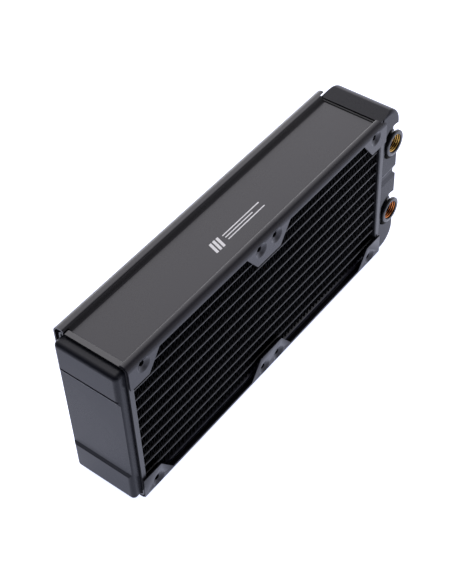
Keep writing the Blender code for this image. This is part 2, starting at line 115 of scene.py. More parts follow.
# ------------------------------------------------------------ camera
cam_data = bpy.data.cameras.new("camera")
cam_data.lens = 79.63
cam_data.sensor_width = 36.0
cam_data.clip_start = 0.01
camera = bpy.data.objects.new("camera", cam_data)
scene.collection.objects.link(camera)
CAM_RIGHT = Vector((0.61054898, -0.79099114, -0.03953414))
CAM_UP = Vector((0.59585097, 0.42589458, 0.68086374))
CAM_BACK = Vector((-0.52171981, -0.43925712, 0.73134234))
turn = Matrix((CAM_RIGHT, CAM_UP, CAM_BACK)).transposed()
camera.matrix_world = Matrix.Translation(W(-421.215, -319.899, 579.669)) @ turn.to_4x4()
scene.camera = camera


# ------------------------------------------------------------ materials
class Nodes:
    """Small helper for one node material."""

    def __init__(self, name):
        self.mat = bpy.data.materials.new(name)
        self.mat.use_nodes = True
        self.tree = self.mat.node_tree
        self.shader = self.tree.nodes["Principled BSDF"]

    def add(self, kind, **values):
        node = self.tree.nodes.new(kind)
        for key, value in values.items():
            setattr(node, key, value)
        return node

    def link(self, a, b):
        self.tree.links.new(a, b)


def paint(name, rgb, roughness, grain=1.0, spread=0.10, ior=1.5, tint=0.12, scale=1.0):
    """Baked satin powder coat: fine orange peel, slight gloss and tone drift."""
    m = Nodes(name)
    coord = m.add("ShaderNodeTexCoord")
    fine = m.add("ShaderNodeTexNoise")
    fine.inputs["Scale"].default_value = 2600.0 * scale
    fine.inputs["Detail"].default_value = 2.0
    coarse = m.add("ShaderNodeTexNoise")
    coarse.inputs["Scale"].default_value = 26.0
    coarse.inputs["Detail"].default_value = 4.0
    peel = m.add("ShaderNodeTexNoise")
    peel.inputs["Scale"].default_value = 700.0 * scale
    peel.inputs["Detail"].default_value = 3.0
    for n in (fine, coarse, peel):
        m.link(coord.outputs["Object"], n.inputs["Vector"])
    # tone
    tone = m.add("ShaderNodeMapRange")
    tone.inputs["From Min"].default_value = 0.3
    tone.inputs["From Max"].default_value = 0.7
    m.link(coarse.outputs["Fac"], tone.inputs["Value"])
    mix = m.add("ShaderNodeMix", data_type="RGBA")
    mix.inputs["A"].default_value = (*[c * (1 - tint) for c in rgb], 1.0)
    mix.inputs["B"].default_value = (*[c * (1 + tint) for c in rgb], 1.0)
    m.link(tone.outputs["Result"], mix.inputs["Factor"])
    m.link(mix.outputs["Result"], m.shader.inputs["Base Color"])
    # gloss
    blend = m.add("ShaderNodeMath", operation="ADD")
    m.link(coarse.outputs["Fac"], blend.inputs[0])
    m.link(fine.outputs["Fac"], blend.inputs[1])
    gloss = m.add("ShaderNodeMapRange")
    gloss.inputs["From Min"].default_value = 0.6
    gloss.inputs["From Max"].default_value = 1.4
    gloss.inputs["To Min"].default_value = roughness - spread / 2
    gloss.inputs["To Max"].default_value = roughness + spread / 2
    m.link(blend.outputs["Value"], gloss.inputs["Value"])
    m.link(gloss.outputs["Result"], m.shader.inputs["Roughness"])
    # orange peel
    add = m.add("ShaderNodeMath", operation="ADD")
    m.link(peel.outputs["Fac"], add.inputs[0])
    m.link(fine.outputs["Fac"], add.inputs[1])
    bump = m.add("ShaderNodeBump")
    bump.inputs["Strength"].default_value = 0.35 * grain
    bump.inputs["Distance"].default_value = 0.00004
    m.link(add.outputs["Value"], bump.inputs["Height"])
    m.link(bump.outputs["Normal"], m.shader.inputs["Normal"])
    m.shader.inputs["IOR"].default_value = ior
    return m.mat


def metal(name, rgb, roughness, dark, axis_z):
    """Machined brass with turning marks, and painted shade darkening the thread roots."""
    m = Nodes(name)
    coord = m.add("ShaderNodeTexCoord")
    noise = m.add("ShaderNodeTexNoise")
    noise.inputs["Scale"].default_value = 420.0
    noise.inputs["Detail"].default_value = 5.0
    m.link(coord.outputs["Object"], noise.inputs["Vector"])
    stretch = m.add("ShaderNodeMapping")
    stretch.inputs["Scale"].default_value = (60.0, 9000.0, 60.0)
    m.link(coord.outputs["Object"], stretch.inputs["Vector"])
    lines = m.add("ShaderNodeTexNoise")
    lines.inputs["Scale"].default_value = 1.0
    lines.inputs["Detail"].default_value = 2.0
    m.link(stretch.outputs["Vector"], lines.inputs["Vector"])
    ramp = m.add("ShaderNodeMapRange")
    ramp.inputs["From Min"].default_value = 0.35
    ramp.inputs["From Max"].default_value = 0.65
    m.link(noise.outputs["Fac"], ramp.inputs["Value"])
    mix = m.add("ShaderNodeMix", data_type="RGBA")
    mix.inputs["A"].default_value = (*[a * (1 - dark) for a in rgb], 1.0)
    mix.inputs["B"].default_value = (*rgb, 1.0)
    m.link(ramp.outputs["Result"], mix.inputs["Factor"])
    centre = W(PORT_X, 0.0, axis_z)
    radial = m.add("ShaderNodeMapping")
    radial.inputs["Location"].default_value = (-centre.x, 0.0, -centre.z)
    radial.inputs["Scale"].default_value = (1.0, 0.0, 1.0)
    m.link(coord.outputs["Object"], radial.inputs["Vector"])
    length = m.add("ShaderNodeVectorMath", operation="LENGTH")
    m.link(radial.outputs["Vector"], length.inputs[0])
    # painted shade: the base colour falls to 3% towards the thread roots, at the outer radius of the bore
    root_shade_mask = m.add("ShaderNodeMapRange")
    root_shade_mask.inputs["From Min"].default_value = 5.95 * MM
    root_shade_mask.inputs["From Max"].default_value = 6.32 * MM
    m.link(length.outputs["Value"], root_shade_mask.inputs["Value"])
    painted_root_shade = m.add("ShaderNodeMix", data_type="RGBA")
    painted_root_shade.inputs["B"].default_value = (*[0.03 * a for a in rgb], 1.0)
    m.link(root_shade_mask.outputs["Result"], painted_root_shade.inputs["Factor"])
    m.link(mix.outputs["Result"], painted_root_shade.inputs["A"])
    m.link(painted_root_shade.outputs["Result"], m.shader.inputs["Base Color"])
    rough = m.add("ShaderNodeMapRange")
    rough.inputs["To Min"].default_value = roughness - 0.06
    rough.inputs["To Max"].default_value = roughness + 0.10
    m.link(lines.outputs["Fac"], rough.inputs["Value"])
    m.link(rough.outputs["Result"], m.shader.inputs["Roughness"])
    bump = m.add("ShaderNodeBump")
    bump.inputs["Strength"].default_value = 0.25
    bump.inputs["Distance"].default_value = 0.00003
    m.link(lines.outputs["Fac"], bump.inputs["Height"])
    m.link(bump.outputs["Normal"], m.shader.inputs["Normal"])
    m.shader.inputs["Metallic"].default_value = 1.0
    return m.mat


FRAME_PAINT = paint("frame_paint_look", (0.0105, 0.0100, 0.0140), 0.29, ior=1.40)
TANK_PAINT = paint("tank_paint_look", (0.0090, 0.0096, 0.0135), 0.29, grain=0.8, ior=1.235)
HEADER_PAINT = paint("header_paint_look", (0.0160, 0.0160, 0.0180), 0.33)
TUBE_PAINT = paint("tube_paint_look", (0.0150, 0.0150, 0.0170), 0.26)
# fins: a black coat made far darker than the other black parts; partly the fins' own black, partly painted
# shade of the deep core between the tubes
FIN_PAINT = paint("fin_paint_look", (0.0008, 0.0008, 0.0012), 0.30, grain=1.0, ior=1.12)
RING_PAINT = paint("ring_paint_look", (0.0160, 0.0160, 0.0180), 0.30, grain=0.7)
BRASS = metal("port_brass_look", (1.0, 0.62, 0.17), 0.36, 0.10, PORTS[0])
COPPER = metal("port_brass_warm_look", (1.0, 0.34, 0.10), 0.36, 0.10, PORTS[1])
PRINT = paint("panel_print_look", (0.70, 0.70, 0.71), 0.45, grain=0.5, tint=0.03)


# ------------------------------------------------------------ mesh tools
parts = bpy.data.collections.new("looks")
scene.collection.children.link(parts)


def place(name, mesh, mat=None):
    obj = bpy.data.objects.new(name, mesh)
    parts.objects.link(obj)
    mesh.materials.clear()
    if mat is not None:
        mesh.materials.append(mat)
    return obj


def box_mesh(name, boxes):
    bm = bmesh.new()
    for x0, x1, y0, y1, z0, z1 in boxes:
        lo, hi = W(x0, y0, z0), W(x1, y1, z1)
        bmesh.ops.create_cube(bm, size=1.0, matrix=Matrix.Translation((lo + hi) / 2)
                              @ Matrix.Diagonal((*(hi - lo), 1.0)))
    mesh = bpy.data.meshes.new(name)
    bm.to_mesh(mesh)
    bm.free()
    return mesh


def box(name, *boxes):
    return place(name, box_mesh(name, boxes))


def turned(name, items, segments=48, mat=None):
    """Bodies turned about axes along Y, from (x, z, [(y, radius), ...])."""
    bm = bmesh.new()
    for x, z, stations in items:
        rings = []
        for y, r in stations:
            rings.append([bm.verts.new(W(x + r * math.cos(2 * math.pi * k / segments), y,
                                         z + r * math.sin(2 * math.pi * k / segments)))
                          for k in range(segments)])
        for a, b in zip(rings, rings[1:]):
            for k in range(segments):
                n = (k + 1) % segments
                bm.faces.new((a[k], a[n], b[n], b[k]))
        bm.faces.new(rings[0])
        bm.faces.new(rings[-1])
    bmesh.ops.recalc_face_normals(bm, faces=bm.faces)
    mesh = bpy.data.meshes.new(name)
    bm.to_mesh(mesh)
    bm.free()
    return place(name, mesh, mat)


def rounded(corners, steps=8):
    out = []
    n = len(corners)
    for i, (u, v, r) in enumerate(corners):
        here = Vector((u, v))
        if r <= 0.0:
            out.append(here)
            continue
        before = (Vector(corners[i - 1][:2]) - here).normalized()
        after = (Vector(corners[(i + 1) % n][:2]) - here).normalized()
        half = before.angle(after) / 2
        reach = r / math.tan(half)
        centre = here + (before + after).normalized() * (r / math.sin(half))
        start, end = here + before * reach - centre, here + after * reach - centre
        sweep = start.angle_signed(end)
        count = max(2, int(round(steps * abs(sweep) / (math.pi / 2))))
        for k in range(count + 1):
            a = -sweep * k / count
            out.append(centre + Vector((start.x * math.cos(a) - start.y * math.sin(a),
                                        start.x * math.sin(a) + start.y * math.cos(a))))
    return out


def outline_mesh(name, loops, axis, lo, hi):
    curve = bpy.data.curves.new(name + "_outline", "CURVE")
    curve.dimensions = "2D"
    curve.fill_mode = "BOTH"
    curve.extrude = abs(hi - lo) / 2 * MM
    for loop in loops:
        spline = curve.splines.new("POLY")
        spline.points.add(len(loop) - 1)
        for point, (u, v) in zip(spline.points, loop):
            point.co = (u * MM, v * MM, 0.0, 1.0)
        spline.use_cyclic_u = True
    holder = bpy.data.objects.new(name + "_outline", curve)
    scene.collection.objects.link(holder)
    mesh = bpy.data.meshes.new_from_object(
        holder.evaluated_get(bpy.context.evaluated_depsgraph_get()))
    bpy.data.objects.remove(holder, do_unlink=True)
    bpy.data.curves.remove(curve)
    mesh.name = name
    mid = (lo + hi) / 2
    if axis == "X":
        turn = Matrix(((0, 0, 1, 0), (1, 0, 0, 0), (0, 1, 0, 0), (0, 0, 0, 1)))
        shift = W(mid, 0, 0)
    elif axis == "Y":
        turn = Matrix(((1, 0, 0, 0), (0, 0, -1, 0), (0, 1, 0, 0), (0, 0, 0, 1)))
        shift = W(0, mid, 0)
    else:
        turn = Matrix.Identity(4)
        shift = W(0, 0, mid)
    mesh.transform(Matrix.Translation(shift) @ turn)
    bm = bmesh.new()
    bm.from_mesh(mesh)
    bmesh.ops.remove_doubles(bm, verts=bm.verts, dist=1e-7)
    bmesh.ops.dissolve_limit(bm, angle_limit=math.radians(0.2), verts=bm.verts,
                             edges=bm.edges)
    bmesh.ops.recalc_face_normals(bm, faces=bm.faces)
    bm.to_mesh(mesh)
    bm.free()
    return mesh


def outline(name, loops, axis, lo, hi, mat=None):
    return place(name, outline_mesh(name, loops, axis, lo, hi), mat)


def bevel_edges(mesh, width, segments, keep):
    bm = bmesh.new()
    bm.from_mesh(mesh)
    chosen = []
    for edge in bm.edges:
        ends = [((v.co.x - OX) / MM, (v.co.y - OY) / MM, (v.co.z - OZ) / MM)
                for v in edge.verts]
        if keep(ends[0], ends[1]):
            chosen.append(edge)
    bmesh.ops.bevel(bm, geom=chosen, offset=width * MM, segments=segments,
                    profile=0.5, affect="EDGES", clamp_overlap=True)
    bm.to_mesh(mesh)
    bm.free()


def cut(obj, *tools, operation="DIFFERENCE"):
    """Boolean each tool into obj, then keep only the result."""
    for tool in tools:
        mod = obj.modifiers.new("cut", "BOOLEAN")
        mod.operation = operation
        mod.solver = "EXACT"
        mod.object = tool
    bake(obj)
    for tool in tools:
        data = tool.data
        bpy.data.objects.remove(tool, do_unlink=True)
        bpy.data.meshes.remove(data)


def bake(obj):
    """Replace the mesh by the evaluated one, without its modifiers."""
    mesh = bpy.data.meshes.new_from_object(
        obj.evaluated_get(bpy.context.evaluated_depsgraph_get()))
    mesh.name = obj.data.name
    obj.modifiers.clear()
    old = obj.data
    obj.data = mesh
    bpy.data.meshes.remove(old)


def soften(obj, width=0.25, segments=2, angle=35.0, crease=40.0):
    """Small machined or pressed edge radius, then flat-true smooth shading."""
    if width > 0.0:
        mod = obj.modifiers.new("edge_radius", "BEVEL")
        mod.width = width * MM
        mod.segments = segments
        mod.limit_method = "ANGLE"
        mod.angle_limit = math.radians(angle)
        mod.use_clamp_overlap = True
        mod.miter_outer = "MITER_ARC"
        bake(obj)
    obj.data.shade_smooth()
    obj.data.set_sharp_from_angle(angle=math.radians(crease))
    mod = obj.modifiers.new("true_normals", "WEIGHTED_NORMAL")
    mod.mode = "FACE_AREA"
    mod.weight = 80
    mod.keep_sharp = True
    bake(obj)


def finish_piece(obj, slot, *nodes):
    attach(obj, "root")
    if nodes:
        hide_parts(*nodes)
    return obj


# ------------------------------------------------------------ side rails
def rail_shape():
    top, web, back = HALF_WIDTH, HALF_WIDTH - WEB_DROP, THICKNESS
    section = rounded([
        (0.0, FLANGE_INNER_Z, 0), (0.0, top, LIP_RADIUS),
        (FRONT_LIP_Y, top, 1.7), (FRONT_LIP_Y, web, 0.6),
        (BACK_LIP_Y - 1.6, web, 1.4), (BACK_LIP_Y + 0.4, top, 1.6),
        (back, top, LIP_RADIUS), (back, FLANGE_INNER_Z, 0),
        (back - SHEET, FLANGE_INNER_Z, 0),
        (back - SHEET, top - SHEET, LIP_RADIUS - SHEET),
        (BACK_LIP_Y + SHEET, top - SHEET, 0.5),
        (BACK_LIP_Y + SHEET, web - SHEET, 0.5),
        (FRONT_LIP_Y - SHEET, web - SHEET, 0.5),
        (FRONT_LIP_Y - SHEET, top - SHEET, 0.5),
        (SHEET, top - SHEET, LIP_RADIUS - SHEET), (SHEET, FLANGE_INNER_Z, 0),
    ], 12)
    body = outline("rail_top_skin", [section], "X", -HALF_LENGTH, HALF_LENGTH, FRAME_PAINT)

    root = FLANGE_INNER_Z + 0.25
    shapes = []
    for x in SCREW_X:
        if abs(x) > 50.0:
            s = math.copysign(1.0, x)
            shapes.append([
                (s * HALF_LENGTH, root, 0), (s * HALF_LENGTH, TAB_INNER_Z, 0.5),
                (x - s * TAB_NEAR, TAB_INNER_Z, 1.2), (x - s * TAB_FAR, FLANGE_INNER_Z, 0),
                (x - s * TAB_FAR, root, 0)])
    mid = SCREW_X[2]
    shapes.append([
        (-mid - TAB_FAR, root, 0), (-mid - TAB_FAR, FLANGE_INNER_Z, 0),
        (-mid - TAB_NEAR, TAB_INNER_Z, 1.2), (mid + TAB_NEAR, TAB_INNER_Z, 1.2),
        (mid + TAB_FAR, FLANGE_INNER_Z, 0), (mid + TAB_FAR, root, 0)])
    loops = [rounded(shape, 6) for shape in shapes]
    cut(body, outline("tabs_a", loops, "Y", 0.0, SHEET),
        outline("tabs_b", loops, "Y", THICKNESS - SHEET, THICKNESS), operation="UNION")

    cut(body, box("reliefs",
                  (-HALF_LENGTH - 5, RETURN_PAN[1][0] + GAP, 2.0, BACK_LIP_Y - 0.1,
                   53.0, RETURN_PAN[1][2] + GAP),
                  (PORT_PAN[0][0] - GAP, HALF_LENGTH + 5, 1.1, PORT_TANK[1][1] + 0.2,
                   53.0, HALF_WIDTH + 2)))
    corner = [(HALF_LENGTH - 3.5, 64.0), (HALF_LENGTH - 3.5, 58.6), (HALF_LENGTH - 1.7, 58.2),
              (HALF_LENGTH - 0.4, 56.9), (HALF_LENGTH + 0.2, 54.9), (HALF_LENGTH + 4, 54.9),
              (HALF_LENGTH + 4, 64.0)]
    cut(body, outline("end_corner", [corner], "Y", -1.0, 1.3))
    for face in (0, 1):
        for x in SCREW_X:
            at = lambda stations: [(x, SCREW_Z, [(y if face == 0 else THICKNESS - y, r)
                                                 for y, r in stations])]
            cut(body, turned("boss", at([(0.8, 5.3), (1.3, 4.9), (2.15, 3.7), (2.4, 3.2)])),
                operation="UNION")
            cut(body, turned("dimple", at([
                (-0.6, 8.4), (0.0, 5.3), (0.12, 4.9), (0.35, 4.45), (1.15, 3.05), (1.45, 2.55),
                (1.7, SCREW_R + 0.08), (1.95, SCREW_R), (3.0, SCREW_R)])))
    return body


rail_top = rail_shape()
soften(rail_top, 0.22, 2)
bottom_mesh = rail_top.data.copy()
flip = (Matrix.Translation((0, 0, OZ)) @ Matrix.Scale(-1.0, 4, (0, 0, 1))
        @ Matrix.Translation((0, 0, -OZ)))
bottom_mesh.transform(flip)
bottom_mesh.flip_normals()
rail_bottom = place("rail_bottom_skin", bottom_mesh, FRAME_PAINT)
finish_piece(rail_top, "frame_paint", "rail_top")
finish_piece(rail_bottom, "frame_paint", "rail_bottom")


# ------------------------------------------------------------ tubes and fins
def flat(width, height, y_mid, z_mid, steps=10):
    r = height / 2
    pts = []
    for centre, start in ((width / 2 - r, -90.0), (-(width / 2 - r), 90.0)):
        for k in range(steps + 1):
            a = math.radians(start + 180.0 * k / steps)
            pts.append((y_mid + centre + r * math.cos(a), z_mid + r * math.sin(a)))
    return pts


for row, y_mid in (("front", TUBE_Y[0]), ("back", TUBE_Y[1])):
    for i in range(11):
        z_mid = (i - 5) * TUBE_PITCH
        tube = outline("tube_%s_skin_%02d" % (row, i + 1), [
            flat(TUBE_W, TUBE_T * 0.66, y_mid, z_mid),
            flat(TUBE_W - 0.6, TUBE_T * 0.66 - 0.6, y_mid, z_mid)],
            "X", -TUBE_END, TUBE_END, TUBE_PAINT)
        tube.data.shade_smooth()
        tube.data.set_sharp_from_angle(angle=math.radians(50.0))
        finish_piece(tube, "tube_paint", "tube_%s_%02d" % (row, i + 1))

FIN_PERIOD = 3.5
FIN_STRIPS = 7


def fin_shape(name, z0, z1, seed):
    """Corrugated sheet, lanced across the depth into strips set half a fold apart."""
    x0, x1 = FIN[0][0] + 0.2, FIN[1][0] - 0.2
    y0, y1 = FIN[0][1], FIN[1][1]
    t = 0.12
    rng = np.random.default_rng(seed)
    legs = int(round((x1 - x0) / (FIN_PERIOD / 2)))
    step = (x1 - x0) / legs
    jitter = rng.normal(0.0, 0.07, legs + 1)
    verts, faces = [], []
    edges_y = np.linspace(y0, y1, FIN_STRIPS + 1)
    for s in range(FIN_STRIPS):
        ya, yb = edges_y[s] + (0.05 if s else 0.0), edges_y[s + 1] - 0.05
        shift = 0.0 if s % 2 == 0 else step * 0.5
        line = []
        for k in range(legs + 1):
            x = x0 + k * step + shift + jitter[k]
            if x < x0 or x > x1:
                continue
            up = k % 2
            zc = (z1 - t / 2) if up else (z0 + t / 2)
            r = 0.28
            zi = zc - r * 0.45 if up else zc + r * 0.45
            line += [(x - r, zi), (x, zc), (x + r, zi)]
        pts = np.array(line)
        d = np.gradient(pts, axis=0)
        n = np.stack([-d[:, 1], d[:, 0]], 1)
        n /= np.linalg.norm(n, axis=1)[:, None]
        a, b = pts + n * t / 2, pts - n * t / 2
        base = len(verts)
        m = len(pts)
        for y in (ya, yb):
            for q in (a, b):
                verts += [tuple(W(px, y, min(max(pz, z0), z1))) for px, pz in q]
        i00, i01, i10, i11 = base, base + m, base + 2 * m, base + 3 * m
        for k in range(m - 1):
            faces.append((i00 + k, i00 + k + 1, i01 + k + 1, i01 + k))      # front edge
            faces.append((i10 + k, i11 + k, i11 + k + 1, i10 + k + 1))      # back edge
            faces.append((i00 + k, i10 + k, i10 + k + 1, i00 + k + 1))      # upper side
            faces.append((i01 + k, i01 + k + 1, i11 + k + 1, i11 + k))      # lower side
        for k in (0, m - 1):
            faces.append((i00 + k, i01 + k, i11 + k, i10 + k))
    mesh = bpy.data.meshes.new(name)
    mesh.from_pydata(verts, [], faces)
    bm = bmesh.new()
    bm.from_mesh(mesh)
    bmesh.ops.recalc_face_normals(bm, faces=bm.faces)
    bm.to_mesh(mesh)
    bm.free()
    return place(name, mesh, FIN_PAINT)


for i in range(12):
    lo, hi = mm_box("fin_%02d" % (i + 1))
    fin = fin_shape("fin_skin_%02d" % (i + 1), lo[2] - 0.25 - TUBE_T * 0.1, hi[2] + 0.25 + TUBE_T * 0.1, 40 + i)
    finish_piece(fin, "fin_paint", "fin_%02d" % (i + 1))


# ------------------------------------------------------------ header pans
def header(name, pan, s, half_z, mat, face_r=1.0):
    near, rim = (pan[0][0], pan[1][0]) if s > 0 else (pan[1][0], pan[0][0])
    y0, y1 = pan[0][1], pan[1][1]
    a, b = sorted((near, rim))
    mesh = box_mesh(name, [(a, b, y0, y1, -half_z, half_z)])
    corner = lambda p, q: abs(p[1] - q[1]) < 0.01 and abs(p[2] - q[2]) < 0.01
    bevel_edges(mesh, HEADER_CORNER_R, 10, corner)
    face = lambda p, q: abs(p[0] - near) < 0.01 and abs(q[0] - near) < 0.01
    bevel_edges(mesh, face_r, 6, face)
    body = place(name, mesh, mat)
    a, b = sorted((near + s * HEADER_T, rim + s * 2.0))
    inner = box_mesh(name + "_pan", [(a, b, y0 + HEADER_T, y1 - HEADER_T,
                                      -half_z + HEADER_T, half_z - HEADER_T)])
    bevel_edges(inner, HEADER_CORNER_R - HEADER_T, 8, corner)
    cut(body, place(name + "_pan", inner))
    a, b = sorted((near - s * 1.0, near + s * (HEADER_T + 1.0)))
    loops = [flat(TUBE_W + 0.3, TUBE_T + 0.3, y_mid, (i - 5) * TUBE_PITCH, 5)
             for y_mid in TUBE_Y for i in range(11)]
    cut(body, outline(name + "_slots", loops, "X", a, b))
    # room for the inner wall of the back lip, which runs on over the pan
    if s < 0:
        cut(body, *[box(name + "_lip_slot", (-HALF_LENGTH - 0.3, near + 2, BACK_LIP_Y - 1.2,
                                             BACK_LIP_Y + SHEET + 0.5, min(t * 54.8, t * 62.0),
                                             max(t * 54.8, t * 62.0))) for t in (-1, 1)])
    soften(body, 0.2, 2)
    return body


finish_piece(header("return_header_skin", RETURN_PAN, -1.0, RETURN_PAN[1][2], HEADER_PAINT),
             "header_paint", "return_header")
PORT_RIM_Z = PORT_PAN[1][2] - 2.9
finish_piece(header("port_header_skin", PORT_PAN, 1.0, PORT_RIM_Z, HEADER_PAINT, 1.0),
             "header_paint", "port_header")


# ------------------------------------------------------------ return tank
def return_tank():
    end, open_x = RETURN_TANK[0][0], RETURN_TANK[1][0]
    y0, y1, half_z = RETURN_TANK[0][1], RETURN_TANK[1][1], RETURN_TANK[1][2]
    drop, ramp, edge = 1.3, 2.4, 34.5
    mesh = box_mesh("return_tank_skin", [(end, open_x, y0, y1, -half_z, half_z)])
    bevel_edges(mesh, 3.0, 10, lambda p, q: abs(p[1] - q[1]) < 0.01 and abs(p[2] - q[2]) < 0.01)
    bevel_edges(mesh, 5.0, 14, lambda p, q: abs(p[0] - end) < 0.01 and abs(q[0] - end) < 0.01)
    bevel_edges(mesh, 1.1, 4, lambda p, q: (abs(p[0] - open_x) < 0.01
                                            and abs(q[0] - open_x) < 0.01))
    body = place("return_tank_skin", mesh, TANK_PAINT)
    # shallow middle band with ramped edges
    band = rounded([(end - 4.0, -edge, 0), (end, -edge, 0.5), (end + drop, -edge + ramp, 0.5),
                    (end + drop, edge - 2.9, 0.4), (end, edge, 0.25), (end - 4.0, edge, 0)], 6)
    cut(body, outline("band", [band], "Y", y0 - 5, y1 + 5))
    cut(body, outline("bead", [[(end - 1.5, edge + 2.4), (end + 1.0, edge + 1.25),
                                (end - 1.5, edge - 1.0)]], "Y", y0 - 5, y1 + 5))
    w = 2.2
    cut(body, box("hollow", (end + drop + w, open_x + 3, y0 + w, y1 - w,
                             -half_z + w, half_z - w)))
    soften(body, 0.3, 3, angle=30.0)
    return body


finish_piece(return_tank(), "tank_paint", "return_tank")


# ------------------------------------------------------------ port tank
def port_tank():
    end, half_z, w = 144.7, PORT_TANK[1][2], 1.5
    y0, y1, edge_r, corner_r = 2.4, PORT_TANK[1][1], 2.5, 14.0
    dish_r, dish_up, dish_y, dish_x = 12.4, 1.9, 7.0, 127.5
    start = PORT_PAN[0][0] + 1.4
    shape = rounded([(start, -half_z, 0), (end, -half_z, corner_r),
                     (end, half_z, corner_r), (start, half_z, 0)], 18)
    mesh = outline_mesh("port_tank_skin", [shape], "Y", y0, y1)
    at_cap = lambda p, q: (abs(p[1] - q[1]) < 0.01
                           and min(abs(p[1] - y0), abs(p[1] - y1)) < 0.01
                           and max(p[0], q[0]) > start + 0.01)
    bevel_edges(mesh, edge_r, 7, at_cap)
    body = place("port_tank_skin", mesh, TANK_PAINT)
    # both sides fall away gently towards the core
    fall, run = 1.9, 13.0
    for s in (-1, 1):
        cut(body, outline("side_fall", [[(start - 3, s * (half_z - fall * (run + 3) / run)),
                                         (start + run, s * half_z), (start + run + 12, s * (half_z + fall)),
                                         (start - 3, s * (half_z + 3))]], "Y", y0 - 4, y1 + 4))
    cut(body, box("front_skirt", (start - 2, PORT_PAN[1][0] + 0.2, -1.0,
                                  PORT_PAN[0][1] + HEADER_T + 0.3, -70, 70)))

    # wide groove round the middle: steep above, sloping out below
    deep, shallow = 4.6, 0.5
    for axis, loop, lo, hi in (
            ("Y", [(end + 3, 5.6), (end, 4.3), (end - deep, 2.5), (end - deep, -0.3),
                   (end, -5.4), (end + 3, -8.6)], -5.0, 60.0),
            ("X", [(y0 - 2, 5.6), (y0, 4.3), (y0 + shallow, 2.5), (y0 + shallow, -0.3),
                   (y0, -5.4), (y0 - 2, -8.6)], PORT_PAN[1][0] + 0.4, 150.0),
            ("X", [(y1 + 2, 5.6), (y1, 4.3), (y1 - shallow, 2.5), (y1 - shallow, -0.3),
                   (y1, -5.4), (y1 + 2, -8.6)], PORT_PAN[1][0] + 0.4, 150.0)):
        profile = rounded([(u, v + GROOVE_MID, 0.8 if 0 < k < 5 else 0)
                           for k, (u, v) in enumerate(loop)], 6)
        cut(body, outline("groove", [profile], axis, lo, hi))

    cut(body, turned("bulges", [
        (PORT_X, z, [(6.5, 8.3), (12.2, 8.3), (13.6, 7.7), (14.5, 6.8), (15.0, 5.6)])
        for z in PORTS]), operation="UNION")
    dish = turned("dishes", [(PORT_X, z + dish_up, [
        (-1.0, dish_r + 0.9), (5.0, dish_r + 0.2), (6.4, dish_r), (dish_y - 0.15, dish_r - 0.5),
        (dish_y, dish_r - 1.2)]) for z in PORTS], 72)
    cut(dish, box("dish_side", (100.0, dish_x, -10, 30, -70, 70)))
    cut(body, dish)

    hollow_lo, hollow_hi = start - 3, end - w
    for s, port_z in ((1.0, PORTS[0]), (-1.0, PORTS[1])):
        z0, z1 = s * GROOVE_MID + 7.5, half_z - w - 1.3
        room_shape = rounded([(hollow_lo, s * z0, 0), (hollow_hi, s * z0, 1.5),
                              (hollow_hi, s * z1, corner_r - w), (hollow_lo, s * z1, 0)], 8)
        room = outline("room", [room_shape], "Y", y0 + w + 0.5, y1 - w)
        keep = turned("keep", [(PORT_X, port_z + dish_up,
                                [(0.0, dish_r + w), (dish_y + w, dish_r + w)])])
        cut(keep, box("keep_side", (100.0, dish_x - w, -10, 30, -70, 70)))
        cut(room, keep)
        cut(body, room)
    cut(body, turned("neck_holes", [(PORT_X, z, [(6.0, 7.2), (12.4, 7.2)]) for z in PORTS]))
    # room for the header pan inside the tank's skirt
    inset = PORT_RIM_Z + 0.25
    cut(body, box("skirt", (start - 3, PORT_PAN[1][0] + 0.3, 4.4, y1 - 1.4,
                            -inset, inset)))
    soften(body, 0.45, 3, angle=28.0)
    return body


finish_piece(port_tank(), "tank_paint", "port_tank")


# ------------------------------------------------------------ threaded collars
def ring_skin(name, z):
    face, back = RING[0][1], 3.0
    r, neck, end_y = (RING[1][0] - RING[0][0]) / 2, 6.9, RING[1][1]
    body = turned(name, [(PORT_X, z, [
        (face, r - 0.55), (face + 0.12, r - 0.28), (face + 0.38, r - 0.08), (face + 0.7, r),
        (back - 0.35, r), (back - 0.1, r - 0.1), (back, r - 0.35), (back + 0.01, neck + 0.5),
        (back + 0.3, neck), (end_y, neck)])], 96, RING_PAINT)
    cut(body, turned(name + "_bore", [(PORT_X, z, [
        (face - 0.6, 7.65), (face, 7.05), (face + 0.35, 6.72), (end_y + 1.0, 6.72)])], 96))
    body.data.shade_smooth()
    body.data.set_sharp_from_angle(angle=math.radians(40.0))
    return body


